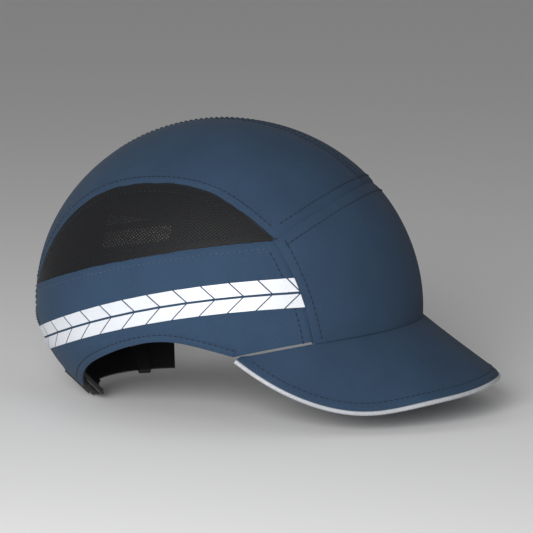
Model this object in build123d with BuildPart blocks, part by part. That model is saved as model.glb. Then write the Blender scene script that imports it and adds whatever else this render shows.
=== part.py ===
"""A soft-cover bump cap: a sewn textile cap over a vented hard shell.

It has a stiffened peak and a slip-buckle nape strap.

Frame, in millimetres: +Z up as worn, the peak points to -Y, and the wearer's right is -X.
The origin is the centre of the head opening, level with the widest line of the crown.
Side-view points are written (y, z), and rear-view points (x, z).
"""
from build123d import *
from math import asin, cos, degrees, hypot, radians, sin
import os

# Crown: two half ellipsoids that share the widest line
HALF_WIDTH = 88.0
HALF_LENGTH = 108.0
CROWN_HEIGHT = 101.0
UNDER_DEPTH = 71.0

# Layers, measured inwards from the outside of the cloth
CLOTH = 1.0
SHELL_GAP = 1.0
SHELL_WALL = 1.8
PAD_FOAM = 5.0
TAPE_THICKNESS = 0.3

# Seams and edges of the cover, side view
MESH_TIP = (-51.0, 46.0)
MESH_HEEL = (98.0, 10.5)
MESH_TOP = [(85.0, 35.0), (61.0, 59.5), (20.0, 71.5), (-18.0, 67.0)]
MESH_SILL = (15.0, 36.5)
FRONT_TOP = (-79.0, 68.5)
FRONT_SEAM_WAIST = (-64.5, 22.0)
FRONT_SEAM_FOOT = (-72.0, -7.0)
TEMPLE = (-34.3, -13.3)
BROW = (-112.0, -1.9)
BROW_WAIST = (-74.0, -5.4)
EAR_ARCH = [(-19.0, -9.2), (0.0, -6.6), (20.0, -10.0), (40.0, -18.2), (57.0, -29.6)]
TAIL_TOE = (65.5, -41.0)
TAIL_FOOT = -43.5
REAR_HALF = 38.5
REAR_SILL = -14.0
REAR_ARCH = -5.0

# Reflective tape: centre line as a wide arc in side view, cut into leaning panes
TAPE_WIDTH = 15.0
TAPE_TOP = (-76.0, 20.1)
TAPE_RADIUS = 365.0
TAPE_PITCH = 14.6
TAPE_TIP = -52.6
PANES_AHEAD = 3
TAPE_END = 94.0
TAPE_LEAN = 7.4
TAPE_GAP = 0.9
TAPE_MIDDLE_GAP = 1.2

# Bindings and tapes
BINDING_REACH = 4.0
BINDING_CLOTH = 0.5
SEAM_TAPE_WIDTH = 12.0
SEAM_TAPE = 0.6

# Peak: sections that run from the brow line to the front edge
PEAK_SWING = 69.0
PEAK_TUCK = 3.0
PEAK_EDGE = [
    (0.0, -150.0, -32.7),
    (27.0, -143.5, -34.2),
    (50.0, -126.0, -36.8),
    (67.5, -100.0, -40.0),
    (78.0, -73.0, -34.2),
    (82.0, -52.0, -24.5),
    (82.5, -36.0, -15.0),
]
PEAK_COLUMNS = 25
PEAK_ROWS = 7
BOARD = 1.6
PEAK_CLOTH = 0.8
PIPING_RADIUS = 1.2
PIPING_SEWN = 0.4
PIPING_FIT = 0.02
PEAK_ROOT = 0.4

# Hard shell; each window is its front and back, then the height of its sill and of its head at both
SHELL_RIM = -1.0
WINDOWS = [
    (-31.0, -1.4, (45.5, 45.5), (53.5, 53.5)),
    (1.4, 47.6, (45.0, 37.0), (53.5, 45.0)),
    (50.4, 80.0, (36.0, 26.0), (44.0, 31.0)),
    (1.4, 47.6, (56.5, 48.0), (64.0, 58.0)),
    (50.4, 72.0, (47.0, 37.5), (56.0, 42.0)),
]
WINDOW_ROUND = 1.8
SLOT_LENGTH = 22.0
SLOT_WIDTH = 5.0
SLOT_SPREAD = (32.0, 104.0)

# Pads, sweatband and label
CROWN_PAD = (27.0, 58.0)
BROW_PAD = (84.0, 20.0)
BROW_PAD_LEVEL = 46.0
NAPE_PAD = (60.0, 34.0)
NAPE_PAD_LEVEL = 26.0
BAND_THICKNESS = 2.8
BAND_BACK = 26.0
BAND_TOP = 21.0
BAND_SHOW = 1.8
LABEL = (40.0, 20.0)
LABEL_THICKNESS = 0.3
LABEL_PLACE = (24.0, 44.0)

# Nape strap on a cone about an upright axis, and its slip buckle
STRAP_AXIS_Y = 30.0
STRAP_RADIUS = 53.0
STRAP_LEVEL = -41.5
STRAP_TILT = 45.0
STRAP_WIDTH = 18.0
STRAP = 1.4
STRAP_RIGHT = 52.0
STRAP_LEFT = -66.0
STRAP_PLAY = 0.35
TOOTH_DEPTH = 0.4
TOOTH_WIDTH = 0.8
TOOTH_PITCH = 1.6
TOOTH_FIRST = -14.0
HOUSING_WALL = 1.5
BUCKLE_RIGHT = 44.0
BUCKLE_MOUTH = 34.0
BUCKLE_LEFT = 11.0
BUCKLE_DEPTH = 3.4
LEVER_LEFT = 12.5
LEVER_THICKNESS = 2.2
PIN_ANGLE = 30.5
PIN_RADIUS = 0.8
PIN_PLAY = 0.05
HUB_RADIUS = 1.75
KEEPER_NEAR = -39.5
KEEPER_FAR = -48.0
SEW_HOLE = 0.6
SEW_SPREAD = 5.0
TONGUE = 6.0

REACH = 140.0


def dome(inset):
    """The cap's outside as a solid, moved in by inset."""
    with BuildPart() as lower:
        Sphere(HALF_LENGTH, arc_size2=0, align=(Align.CENTER, Align.CENTER, Align.MAX))
        scale(by=(
            (HALF_WIDTH - inset) / HALF_LENGTH,
            (HALF_LENGTH - inset) / HALF_LENGTH,
            (UNDER_DEPTH - inset) / HALF_LENGTH,
        ))
    with BuildPart() as whole:
        Sphere(HALF_LENGTH, arc_size1=0, align=(Align.CENTER, Align.CENTER, Align.MIN))
        scale(by=(
            (HALF_WIDTH - inset) / HALF_LENGTH,
            (HALF_LENGTH - inset) / HALF_LENGTH,
            (CROWN_HEIGHT - inset) / HALF_LENGTH,
        ))
        add(lower)
    return whole.part


def wall(inset, thickness):
    """A hollow layer of the crown that starts inset under the outside."""
    with BuildPart() as layer:
        add(dome(inset))
        add(dome(inset + thickness), mode=Mode.SUBTRACT)
    return layer.part


def tape_level(y):
    """Height of the reflective tape's centre line."""
    return TAPE_TOP[1] - (y - TAPE_TOP[0]) ** 2 / (2 * TAPE_RADIUS)


# Side-view outlines, used as cutters through the crown

with BuildSketch(Plane.YZ) as cover_outline:
    with BuildLine():
        ThreePointArc(BROW, BROW_WAIST, TEMPLE)
        Spline(TEMPLE, *EAR_ARCH, TAIL_TOE)
        Polyline(
            TAIL_TOE, (TAIL_TOE[0] + 3, TAIL_FOOT), (REACH, TAIL_FOOT),
            (REACH, REACH), (-REACH, REACH), (-REACH, BROW[1]), BROW,
        )
    make_face()

with BuildSketch(Plane.YZ) as front_outline:
    with BuildLine():
        seam_run = (FRONT_TOP[0] - MESH_TIP[0], FRONT_TOP[1] - MESH_TIP[1])
        seam_end = (MESH_TIP[0] + 3 * seam_run[0], MESH_TIP[1] + 3 * seam_run[1])
        ThreePointArc(FRONT_SEAM_FOOT, FRONT_SEAM_WAIST, MESH_TIP)
        Polyline(
            MESH_TIP, seam_end, (-REACH, seam_end[1]), (-REACH, -REACH),
            (FRONT_SEAM_FOOT[0], -REACH), FRONT_SEAM_FOOT,
        )
    make_face()

with BuildSketch(Plane.YZ) as mesh_outline:
    with BuildLine():
        ThreePointArc(MESH_TIP, MESH_SILL, MESH_HEEL)
        Spline(MESH_HEEL, *MESH_TOP, MESH_TIP)
    make_face()

with BuildSketch(Plane.YZ) as side_outline:
    with BuildLine():
        ThreePointArc(MESH_TIP, MESH_SILL, MESH_HEEL)
        Polyline(
            MESH_HEEL, (REACH, MESH_HEEL[1]), (REACH, -REACH),
            (FRONT_SEAM_FOOT[0], -REACH), FRONT_SEAM_FOOT,
        )
        ThreePointArc(FRONT_SEAM_FOOT, FRONT_SEAM_WAIST, MESH_TIP)
    make_face()

with BuildSketch(Plane.XZ) as rear_opening_outline:
    with BuildLine():
        ThreePointArc((-REAR_HALF, REAR_SILL), (0, REAR_ARCH), (REAR_HALF, REAR_SILL))
        Polyline(
            (REAR_HALF, REAR_SILL), (REAR_HALF, -REACH), (-REAR_HALF, -REACH), (-REAR_HALF, REAR_SILL),
        )
    make_face()

# Cloth cover

with BuildPart() as cover:
    add(wall(0, CLOTH))
    extrude(cover_outline.sketch, amount=REACH, both=True, mode=Mode.INTERSECT)
    extrude(rear_opening_outline.sketch, amount=-REACH, mode=Mode.SUBTRACT)

with BuildPart() as front_panel:
    add(cover.part)
    extrude(front_outline.sketch, amount=REACH, both=True, mode=Mode.INTERSECT)

with BuildPart() as right_side_cutter:
    extrude(mesh_outline.sketch, amount=-REACH)
    extrude(side_outline.sketch, amount=-REACH)
    with Locations((-REAR_HALF - REACH / 2, 0, 0)):
        Box(REACH, 2 * REACH, 2 * REACH, mode=Mode.INTERSECT)

with BuildPart() as crown_panel_right:
    add(cover.part)
    extrude(front_outline.sketch, amount=REACH, both=True, mode=Mode.SUBTRACT)
    add(right_side_cutter.part, mode=Mode.SUBTRACT)
    split(bisect_by=Plane.YZ, keep=Keep.BOTTOM)

with BuildPart() as mesh_panel_right:
    add(cover.part)
    add(right_side_cutter.part, mode=Mode.INTERSECT)
    extrude(mesh_outline.sketch, amount=-REACH, mode=Mode.INTERSECT)

with BuildPart() as side_band_right:
    add(cover.part)
    add(right_side_cutter.part, mode=Mode.INTERSECT)
    extrude(side_outline.sketch, amount=-REACH, mode=Mode.INTERSECT)


def tape_pane(front, back, row):
    """Corners of one leaning pane; row is 1 above the tape's middle line and -1 below it."""
    inner = TAPE_MIDDLE_GAP / 2 * row
    outer = TAPE_WIDTH / 2 * row
    return [
        (front, tape_level(front) + inner),
        (back, tape_level(back) + inner),
        (lean_back(back), tape_level(lean_back(back)) + outer),
        (lean_back(front), tape_level(lean_back(front)) + outer),
    ]


def plan_step(y, length):
    """Moves back along the crown's side by a real length and gives the new side-view y."""
    angle = asin(max(-1.0, min(1.0, y / HALF_LENGTH)))
    steps = 20
    for _ in range(steps):
        angle += length / steps / hypot(HALF_LENGTH * cos(angle), HALF_WIDTH * sin(angle))
    return HALF_LENGTH * sin(angle)


def lean_back(y):
    """Where a pane's outer corner lies, behind its inner corner at y."""
    return plan_step(y, TAPE_LEAN)


# Reflective tape, heat-sealed on the side band between the front seam and the rear seam

with BuildPart() as reflective_tape_right:
    place = plan_step(TAPE_TIP, TAPE_GAP / 2 - PANES_AHEAD * TAPE_PITCH)
    while place < TAPE_END:
        back = plan_step(place, TAPE_PITCH - TAPE_GAP)
        with BuildSketch(Plane.YZ):
            for row in (1, -1):
                with BuildLine():
                    Polyline(*tape_pane(place, back, row), close=True)
                make_face()
        extrude(amount=-REACH)
        place = plan_step(place, TAPE_PITCH)
    extrude(side_outline.sketch, amount=-REACH, mode=Mode.INTERSECT)
    with Locations((-REAR_HALF - REACH / 2, 0, 0)):
        Box(REACH, 2 * REACH, 2 * REACH, mode=Mode.INTERSECT)
    add(wall(-TAPE_THICKNESS, TAPE_THICKNESS), mode=Mode.INTERSECT)

# Edge binding round the ear arch, folded over the cloth's edge

with BuildSketch(Plane.YZ) as ear_fold:
    with BuildLine():
        Spline(TEMPLE, *EAR_ARCH, TAIL_TOE)
    trace(line_width=2 * BINDING_REACH)
    add(cover_outline.sketch_local, mode=Mode.INTERSECT)

with BuildSketch(Plane.YZ) as ear_roll:
    with BuildLine():
        Spline(TEMPLE, *EAR_ARCH, TAIL_TOE)
    trace(line_width=2 * BINDING_CLOTH)

with BuildPart() as ear_binding_right:
    extrude(ear_fold.sketch, amount=-REACH)
    extrude(ear_roll.sketch, amount=-REACH)
    add(wall(-BINDING_CLOTH, CLOTH + 2 * BINDING_CLOTH), mode=Mode.INTERSECT)
    with Locations((-REAR_HALF - REACH / 2, 0, 0)):
        Box(REACH, 2 * REACH, 2 * REACH, mode=Mode.INTERSECT)
    add(side_band_right.part, mode=Mode.SUBTRACT)

with BuildSketch(Plane.XZ) as rear_fold:
    with BuildLine():
        ThreePointArc((-REAR_HALF, REAR_SILL), (0, REAR_ARCH), (REAR_HALF, REAR_SILL))
    trace(line_width=2 * BINDING_REACH)
    add(rear_opening_outline.sketch_local, mode=Mode.SUBTRACT)

with BuildSketch(Plane.XZ) as rear_roll:
    with BuildLine():
        ThreePointArc((-REAR_HALF, REAR_SILL), (0, REAR_ARCH), (REAR_HALF, REAR_SILL))
    trace(line_width=2 * BINDING_CLOTH)

with BuildPart() as rear_binding:
    extrude(rear_fold.sketch, amount=-REACH)
    extrude(rear_roll.sketch, amount=-REACH)
    Box(2 * REAR_HALF - 0.2, 4 * REACH, 4 * REACH, mode=Mode.INTERSECT)
    add(wall(-BINDING_CLOTH, CLOTH + 2 * BINDING_CLOTH), mode=Mode.INTERSECT)
    add(cover.part, mode=Mode.SUBTRACT)

# Seam tape inside the crown's centre seam

with BuildPart() as centre_seam_tape:
    Box(SEAM_TAPE_WIDTH, 2 * REACH, 2 * REACH)
    add(wall(CLOTH, SEAM_TAPE), mode=Mode.INTERSECT)
    extrude(front_outline.sketch, amount=REACH, both=True, mode=Mode.SUBTRACT)
    with Locations((0, 0, REAR_ARCH + BINDING_REACH + 1 - REACH)):
        Box(2 * REACH, 4 * REACH, 2 * REACH, mode=Mode.SUBTRACT)

# Peak: a flat board bent across, covered in cloth above and below, with piping round its edge


def brow_point(share):
    """The peak's root, tucked inside the crown; share runs from -1 at the left temple to 1 at the right."""
    angle = radians(PEAK_SWING * share)
    reach = PEAK_TUCK
    x = -(HALF_WIDTH - reach) * sin(angle)
    y = -(HALF_LENGTH - reach) * cos(angle)
    along = (y - BROW[0]) / (TEMPLE[0] - BROW[0])
    middle = (BROW_WAIST[0] - BROW[0]) / (TEMPLE[0] - BROW[0])
    bow = BROW_WAIST[1] - BROW[1] - middle * (TEMPLE[1] - BROW[1])
    drop = along * (TEMPLE[1] - BROW[1]) + bow * along * (1 - along) / (middle * (1 - middle))
    return (x, y, BROW[1] + drop - PEAK_ROOT - BOARD / 2 - PEAK_CLOTH)


edge_right = [(-x, y, z) for x, y, z in PEAK_EDGE]
edge_left = PEAK_EDGE[1:]
peak_points = list(reversed(edge_left)) + edge_right
with BuildLine() as peak_edge:
    Spline(*peak_points)


def edge_and_root(share, reach=0.0):
    """A point of the peak's front edge moved out by reach, and the root point behind it."""
    root = Vector(*brow_point(share))
    edge = peak_edge.edge() @ ((share + 1) / 2)
    return edge + (edge - root).normalized() * reach, root


def peak_surface(reach=0.0):
    """The peak's middle surface, straight from root to edge, with its edge moved out by reach."""
    columns = []
    for column in range(PEAK_COLUMNS):
        edge, root = edge_and_root(2 * column / (PEAK_COLUMNS - 1) - 1, reach)
        columns.append([root + (edge - root) * (row / (PEAK_ROWS - 1)) for row in range(PEAK_ROWS)])
    return Face.make_surface_from_array_of_points(columns)


peak_face = peak_surface()
UP = 1 if peak_face.normal_at().Z > 0 else -1

with BuildPart() as crown_inside:
    add(dome(CLOTH))

with BuildPart() as peak_board:
    thicken(peak_face, amount=BOARD / 2, both=True)
    add(crown_inside.part, mode=Mode.SUBTRACT)
    add(cover.part, mode=Mode.SUBTRACT)

with BuildPart() as peak_top_cover:
    thicken(peak_face, amount=UP * (BOARD / 2 + PEAK_CLOTH))
    thicken(peak_face, amount=UP * BOARD / 2, mode=Mode.SUBTRACT)
    add(crown_inside.part, mode=Mode.SUBTRACT)
    add(cover.part, mode=Mode.SUBTRACT)

with BuildPart() as peak_bottom_cover:
    thicken(peak_face, amount=-UP * (BOARD / 2 + PEAK_CLOTH))
    thicken(peak_face, amount=-UP * BOARD / 2, mode=Mode.SUBTRACT)
    add(crown_inside.part, mode=Mode.SUBTRACT)
    add(cover.part, mode=Mode.SUBTRACT)

with BuildPart() as peak_piping:
    with BuildLine() as piping_line:
        shares = [2 * column / (PEAK_COLUMNS - 1) - 1 for column in range(PEAK_COLUMNS)]
        Spline(*[edge_and_root(share, PIPING_RADIUS - PIPING_SEWN)[0] for share in shares])
    piping_path = piping_line.edge()
    with BuildSketch(Plane(origin=piping_path @ 0, z_dir=piping_path % 0)):
        Circle(PIPING_RADIUS)
    sweep(path=piping_path)
    thicken(
        peak_surface(PIPING_FIT), amount=BOARD / 2 + PEAK_CLOTH + PIPING_FIT, both=True, mode=Mode.SUBTRACT,
    )
    add(dome(0), mode=Mode.SUBTRACT)

# Hard shell with side windows behind the mesh and slots in the crown

SHELL_INSET = CLOTH + SHELL_GAP
PAD_INSET = SHELL_INSET + SHELL_WALL

with BuildSketch(Plane.YZ) as windows:
    for front, back, sill, head in WINDOWS:
        with BuildLine():
            Polyline((front, sill[0]), (back, sill[1]), (back, head[1]), (front, head[0]), close=True)
        make_face()
    fillet(windows.vertices(), WINDOW_ROUND)

with BuildPart() as hard_shell:
    add(wall(SHELL_INSET, SHELL_WALL))
    with BuildSketch(Plane.XY.offset(SHELL_RIM)):
        Rectangle(2 * REACH, 2 * REACH)
    extrude(amount=REACH, mode=Mode.INTERSECT)
    extrude(windows.sketch, amount=REACH, both=True, mode=Mode.SUBTRACT)
    with BuildSketch(Plane.XY.offset(CROWN_HEIGHT / 2)):
        with GridLocations(SLOT_SPREAD[0], SLOT_SPREAD[1], 2, 2):
            SlotOverall(SLOT_LENGTH, SLOT_WIDTH, rotation=90)
    extrude(amount=REACH, mode=Mode.SUBTRACT)

# Foam pads bonded inside the shell

with BuildPart() as crown_pad:
    with BuildSketch():
        Ellipse(*CROWN_PAD)
    extrude(amount=REACH)
    add(wall(PAD_INSET, PAD_FOAM), mode=Mode.INTERSECT)

with BuildPart() as brow_pad:
    with BuildSketch(Plane.XZ):
        with Locations((0, BROW_PAD_LEVEL)):
            SlotOverall(*BROW_PAD)
    extrude(amount=REACH)
    add(wall(PAD_INSET, PAD_FOAM), mode=Mode.INTERSECT)

with BuildPart() as nape_pad:
    with BuildSketch(Plane.XZ):
        with Locations((0, NAPE_PAD_LEVEL)):
            SlotOverall(*NAPE_PAD)
    extrude(amount=-REACH)
    add(wall(PAD_INSET, PAD_FOAM), mode=Mode.INTERSECT)

# Sweatband: folded under the shell's rim and sewn to the cover's edge

with BuildPart() as sweatband:
    add(wall(CLOTH, PAD_INSET - CLOTH + BAND_THICKNESS))
    with BuildSketch(Plane.YZ.offset(0)):
        with Locations((0, -BAND_SHOW)):
            add(cover_outline.sketch_local)
        with Locations(((BAND_BACK - REACH) / 2, BAND_TOP - REACH / 2)):
            Rectangle(BAND_BACK + REACH, REACH, mode=Mode.INTERSECT)
    extrude(amount=REACH, both=True, mode=Mode.INTERSECT)
    with BuildPart(mode=Mode.PRIVATE) as shell_room:
        add(wall(CLOTH, PAD_INSET - CLOTH))
        with BuildSketch(Plane.XY.offset(SHELL_RIM)):
            Rectangle(2 * REACH, 2 * REACH)
        extrude(amount=REACH, mode=Mode.INTERSECT)
    add(shell_room.part, mode=Mode.SUBTRACT)
    add(ear_binding_right.part, mode=Mode.SUBTRACT)
    add(mirror(ear_binding_right.part, about=Plane.YZ), mode=Mode.SUBTRACT)

with BuildPart() as label:
    add(wall(PAD_INSET, LABEL_THICKNESS))
    with Locations((-REACH, *LABEL_PLACE)):
        Box(2 * REACH, *LABEL, mode=Mode.INTERSECT)

# Nape strap: angles are in degrees about the strap's upright axis, positive towards the wearer's right

STRAP_AXIS = Axis((0, STRAP_AXIS_Y, 0), (0, 0, 1))


def strap_plane(angle):
    """Plane across the strap: local x points out of the strap's face, local y up its width."""
    swing = radians(angle)
    tilt = radians(STRAP_TILT)
    out = (-sin(swing) * sin(tilt), cos(swing) * sin(tilt), -cos(tilt))
    place = (-STRAP_RADIUS * sin(swing), STRAP_AXIS_Y + STRAP_RADIUS * cos(swing), STRAP_LEVEL)
    return Plane(origin=place, x_dir=out, z_dir=(cos(swing), sin(swing), 0))


CHANNEL_IN = STRAP / 2 + STRAP_PLAY
CHANNEL_HALF = STRAP_WIDTH / 2 + STRAP_PLAY
HOUSING_HALF = CHANNEL_HALF + HOUSING_WALL
PIN_HEIGHT = CHANNEL_IN + HUB_RADIUS


def sleeve(start, end):
    """A closed loop round the strap between two angles, grown out to meet the inside of the tail."""
    with BuildPart() as loop:
        with BuildSketch(strap_plane(start)):
            with Locations((TONGUE / 2 - (CHANNEL_IN + HOUSING_WALL) / 2, 0)):
                Rectangle(CHANNEL_IN + HOUSING_WALL + TONGUE, 2 * HOUSING_HALF)
            Rectangle(2 * CHANNEL_IN, 2 * CHANNEL_HALF, mode=Mode.SUBTRACT)
        revolve(axis=STRAP_AXIS, revolution_arc=end - start)
        add(crown_inside.part, mode=Mode.INTERSECT)
    return loop.part


with BuildPart() as nape_strap:
    with BuildSketch(strap_plane(STRAP_LEFT)):
        Rectangle(STRAP, STRAP_WIDTH)
    revolve(axis=STRAP_AXIS, revolution_arc=STRAP_RIGHT - STRAP_LEFT)
    step = degrees(TOOTH_PITCH / STRAP_RADIUS)
    teeth = int((STRAP_RIGHT - TOOTH_PITCH - TOOTH_FIRST) / step)
    for tooth in range(teeth):
        with Locations(strap_plane(TOOTH_FIRST + tooth * step) * Pos(STRAP / 2, 0, 0)):
            Box(2 * TOOTH_DEPTH, 2 * STRAP_WIDTH / 3, TOOTH_WIDTH, mode=Mode.SUBTRACT)

with BuildPart() as strap_keeper:
    add(sleeve(KEEPER_FAR, KEEPER_NEAR))
    sew_angle = (KEEPER_FAR + KEEPER_NEAR) / 2
    sew_rows = (-SEW_SPREAD, SEW_SPREAD)
    with Locations([strap_plane(sew_angle) * Pos(CHANNEL_IN + REACH / 2, row, 0) for row in sew_rows]):
        Cylinder(SEW_HOLE, REACH, rotation=(0, 90, 0), mode=Mode.SUBTRACT)

# Slip buckle: a frame round the strap, and a lever on a cross pin that clamps it

with BuildPart() as buckle_frame:
    with BuildSketch(strap_plane(BUCKLE_LEFT)):
        with Locations(((BUCKLE_DEPTH - CHANNEL_IN - HOUSING_WALL) / 2, 0)):
            Rectangle(BUCKLE_DEPTH + CHANNEL_IN + HOUSING_WALL, 2 * HOUSING_HALF)
        with Locations(((BUCKLE_DEPTH - CHANNEL_IN) / 2 + 1, 0)):
            Rectangle(BUCKLE_DEPTH + CHANNEL_IN + 2, 2 * CHANNEL_HALF, mode=Mode.SUBTRACT)
    revolve(axis=STRAP_AXIS, revolution_arc=BUCKLE_MOUTH - BUCKLE_LEFT)
    add(sleeve(BUCKLE_MOUTH, BUCKLE_RIGHT))
    with Locations(strap_plane(PIN_ANGLE) * Pos(PIN_HEIGHT, 0, 0)):
        Cylinder(PIN_RADIUS, 2 * HOUSING_HALF, rotation=(90, 0, 0), mode=Mode.SUBTRACT)

with BuildPart() as buckle_pin:
    with Locations(strap_plane(PIN_ANGLE) * Pos(PIN_HEIGHT, 0, 0)):
        Cylinder(PIN_RADIUS, 2 * HOUSING_HALF, rotation=(90, 0, 0))

with BuildPart() as buckle_lever:
    with BuildSketch(strap_plane(LEVER_LEFT)):
        with Locations((PIN_HEIGHT, 0)):
            Rectangle(LEVER_THICKNESS, 2 * (CHANNEL_HALF - STRAP_PLAY))
    revolve(axis=STRAP_AXIS, revolution_arc=PIN_ANGLE - LEVER_LEFT)
    with Locations(strap_plane(PIN_ANGLE) * Pos(PIN_HEIGHT, 0, 0)):
        Cylinder(HUB_RADIUS, 2 * (CHANNEL_HALF - STRAP_PLAY), rotation=(90, 0, 0))
        Cylinder(PIN_RADIUS + PIN_PLAY, 2 * HOUSING_HALF, rotation=(90, 0, 0), mode=Mode.SUBTRACT)

# Labels and files

pieces = {
    "front_panel": front_panel.part,
    "crown_panel_right": crown_panel_right.part,
    "mesh_panel_right": mesh_panel_right.part,
    "side_band_right": side_band_right.part,
    "reflective_tape_right": reflective_tape_right.part,
    "ear_binding_right": ear_binding_right.part,
    "rear_binding": rear_binding.part,
    "centre_seam_tape": centre_seam_tape.part,
    "peak_board": peak_board.part,
    "peak_top_cover": peak_top_cover.part,
    "peak_bottom_cover": peak_bottom_cover.part,
    "peak_piping": peak_piping.part,
    "hard_shell": hard_shell.part,
    "crown_pad": crown_pad.part,
    "brow_pad": brow_pad.part,
    "nape_pad": nape_pad.part,
    "sweatband": sweatband.part,
    "label": label.part,
    "nape_strap": nape_strap.part,
    "strap_keeper": strap_keeper.part,
    "buckle_frame": buckle_frame.part,
    "buckle_pin": buckle_pin.part,
    "buckle_lever": buckle_lever.part,
}
for name in [name for name in pieces if name.endswith("_right")]:
    with BuildPart() as left_twin:
        mirror(pieces[name], about=Plane.YZ)
    pieces[name.replace("_right", "_left")] = left_twin.part

os.makedirs("parts", exist_ok=True)
for name, piece in pieces.items():
    piece.label = name
    export_step(piece, f"parts/{name}.step")
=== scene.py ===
import math
import bpy
import numpy as np
from mathutils import Matrix, Vector, noise


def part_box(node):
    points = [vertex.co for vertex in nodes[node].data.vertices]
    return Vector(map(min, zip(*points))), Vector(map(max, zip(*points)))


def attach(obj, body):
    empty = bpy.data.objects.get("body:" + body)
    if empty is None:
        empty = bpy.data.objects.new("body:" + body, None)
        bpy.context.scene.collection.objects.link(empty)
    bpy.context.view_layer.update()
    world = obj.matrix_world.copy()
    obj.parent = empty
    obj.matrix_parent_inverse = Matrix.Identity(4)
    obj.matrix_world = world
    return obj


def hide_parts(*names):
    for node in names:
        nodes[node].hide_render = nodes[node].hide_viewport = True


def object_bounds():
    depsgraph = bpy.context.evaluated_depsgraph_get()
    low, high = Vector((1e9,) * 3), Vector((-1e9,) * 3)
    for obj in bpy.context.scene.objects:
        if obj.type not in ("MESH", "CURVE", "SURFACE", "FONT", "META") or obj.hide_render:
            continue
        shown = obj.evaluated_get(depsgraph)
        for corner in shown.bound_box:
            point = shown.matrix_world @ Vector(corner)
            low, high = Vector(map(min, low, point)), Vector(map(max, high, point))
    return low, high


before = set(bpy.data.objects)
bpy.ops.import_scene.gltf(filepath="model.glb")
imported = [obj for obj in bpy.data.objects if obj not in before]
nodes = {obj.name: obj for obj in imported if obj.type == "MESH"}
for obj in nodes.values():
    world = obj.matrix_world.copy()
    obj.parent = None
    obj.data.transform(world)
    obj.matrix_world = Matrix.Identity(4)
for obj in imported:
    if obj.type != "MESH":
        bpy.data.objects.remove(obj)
cad_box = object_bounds()


# ---------------------------------------------------------------------------------------------
# Front panel. One piece of navy woven cloth over the brow, cut without a centre seam. It is sewn
# to the crown along its top, to the side bands down both sides, and to the peak below.

def on_crown(points, lift=0.0):
    """Points moved straight out from the middle until they lie on the crown, raised by lift."""
    points = np.asarray(points, float).reshape(-1, 3)
    half = np.empty_like(points)
    half[:, 0] = 0.088 + lift
    half[:, 1] = 0.108 + lift
    half[:, 2] = np.where(points[:, 2] > 0, 0.101, 0.071) + lift
    return points / np.linalg.norm(points / half, axis=1)[:, None]


def crown_normal(points):
    """The crown's outward direction at each point."""
    points = np.asarray(points, float).reshape(-1, 3)
    half = np.stack([np.full(len(points), 0.088), np.full(len(points), 0.108),
                     np.where(points[:, 2] > 0, 0.101, 0.071)], axis=1)
    out = points / half ** 2
    return out / np.linalg.norm(out, axis=1)[:, None]


def through(marks, count=121):
    """A smooth line through a few marks, as a cutter's curve goes through its pins."""
    marks = np.array(marks, float)
    along = np.r_[0, np.cumsum(np.linalg.norm(np.diff(marks, axis=0), axis=1))]
    gaps = np.diff(along)
    last = len(marks) - 1
    system = np.eye(last + 1)
    bend = np.zeros_like(marks)
    for i in range(1, last):
        system[i, i - 1:i + 2] = gaps[i - 1], 2 * (gaps[i - 1] + gaps[i]), gaps[i]
        bend[i] = 6 * ((marks[i + 1] - marks[i]) / gaps[i] - (marks[i] - marks[i - 1]) / gaps[i - 1])
    bend = np.linalg.solve(system, bend)
    place = np.linspace(0, along[-1], count)
    k = np.clip(np.searchsorted(along, place, "right") - 1, 0, last - 1)
    ahead = (along[k + 1] - place)[:, None]
    behind = (place - along[k])[:, None]
    gap = gaps[k][:, None]
    cubic = (bend[k] * ahead ** 3 + bend[k + 1] * behind ** 3) / (6 * gap)
    return cubic + (marks[k] / gap - bend[k] * gap / 6) * ahead + (marks[k + 1] / gap - bend[k + 1] * gap / 6) * behind


def arc(start, middle, end, count=121):
    """A round arc through three marks in side view."""
    (ax, ay), (bx, by), (cx, cy) = start, middle, end
    d = 2 * (ax * (by - cy) + bx * (cy - ay) + cx * (ay - by))
    ux = ((ax**2 + ay**2) * (by - cy) + (bx**2 + by**2) * (cy - ay) + (cx**2 + cy**2) * (ay - by)) / d
    uy = ((ax**2 + ay**2) * (cx - bx) + (bx**2 + by**2) * (ax - cx) + (cx**2 + cy**2) * (bx - ax)) / d
    radius = math.hypot(ax - ux, ay - uy)
    turns = np.unwrap([math.atan2(ay - uy, ax - ux), math.atan2(by - uy, bx - ux), math.atan2(cy - uy, cx - ux)])
    swing = np.linspace(turns[0], turns[2], count)
    return np.stack([ux + radius * np.cos(swing), uy + radius * np.sin(swing)], axis=1)


def on_right_side(side_view):
    """Side-view marks (y, z) as points on the crown's right side."""
    y, z = np.asarray(side_view, float).T
    depth = np.where(z > 0, 0.101, 0.071)
    share = np.clip(1 - (y / 0.108) ** 2 - (z / depth) ** 2, 0, 1)
    return np.stack([-0.088 * np.sqrt(share), y, z], axis=1)


def other_side(points):
    """The same points on the wearer's left."""
    return np.asarray(points) * (-1, 1, 1)


def evenly(points, count):
    """A line's points spaced again by length."""
    points = np.asarray(points, float)
    along = np.r_[0, np.cumsum(np.linalg.norm(np.diff(points, axis=0), axis=1))]
    place = np.linspace(0, along[-1], count)
    return np.stack([np.interp(place, along, points[:, i]) for i in range(3)], axis=1)


def length_of(points):
    return float(np.linalg.norm(np.diff(points, axis=0), axis=1).sum())


cuts = {}


def note_cut(cloth, rows, columns):
    """Keeps a cloth's longest run each way and its area, as it was cut, before it gets its thickness."""
    grid = np.array([v.co for v in cloth.data.vertices]).reshape(rows + 1, columns + 1, 3)
    width = np.linalg.norm(np.diff(grid, axis=1), axis=2).sum(axis=1).max()
    length = np.linalg.norm(np.diff(grid, axis=0), axis=2).sum(axis=0).max()
    cuts[cloth.name] = float(width), float(length), sum(face.area for face in cloth.data.polygons)


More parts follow.
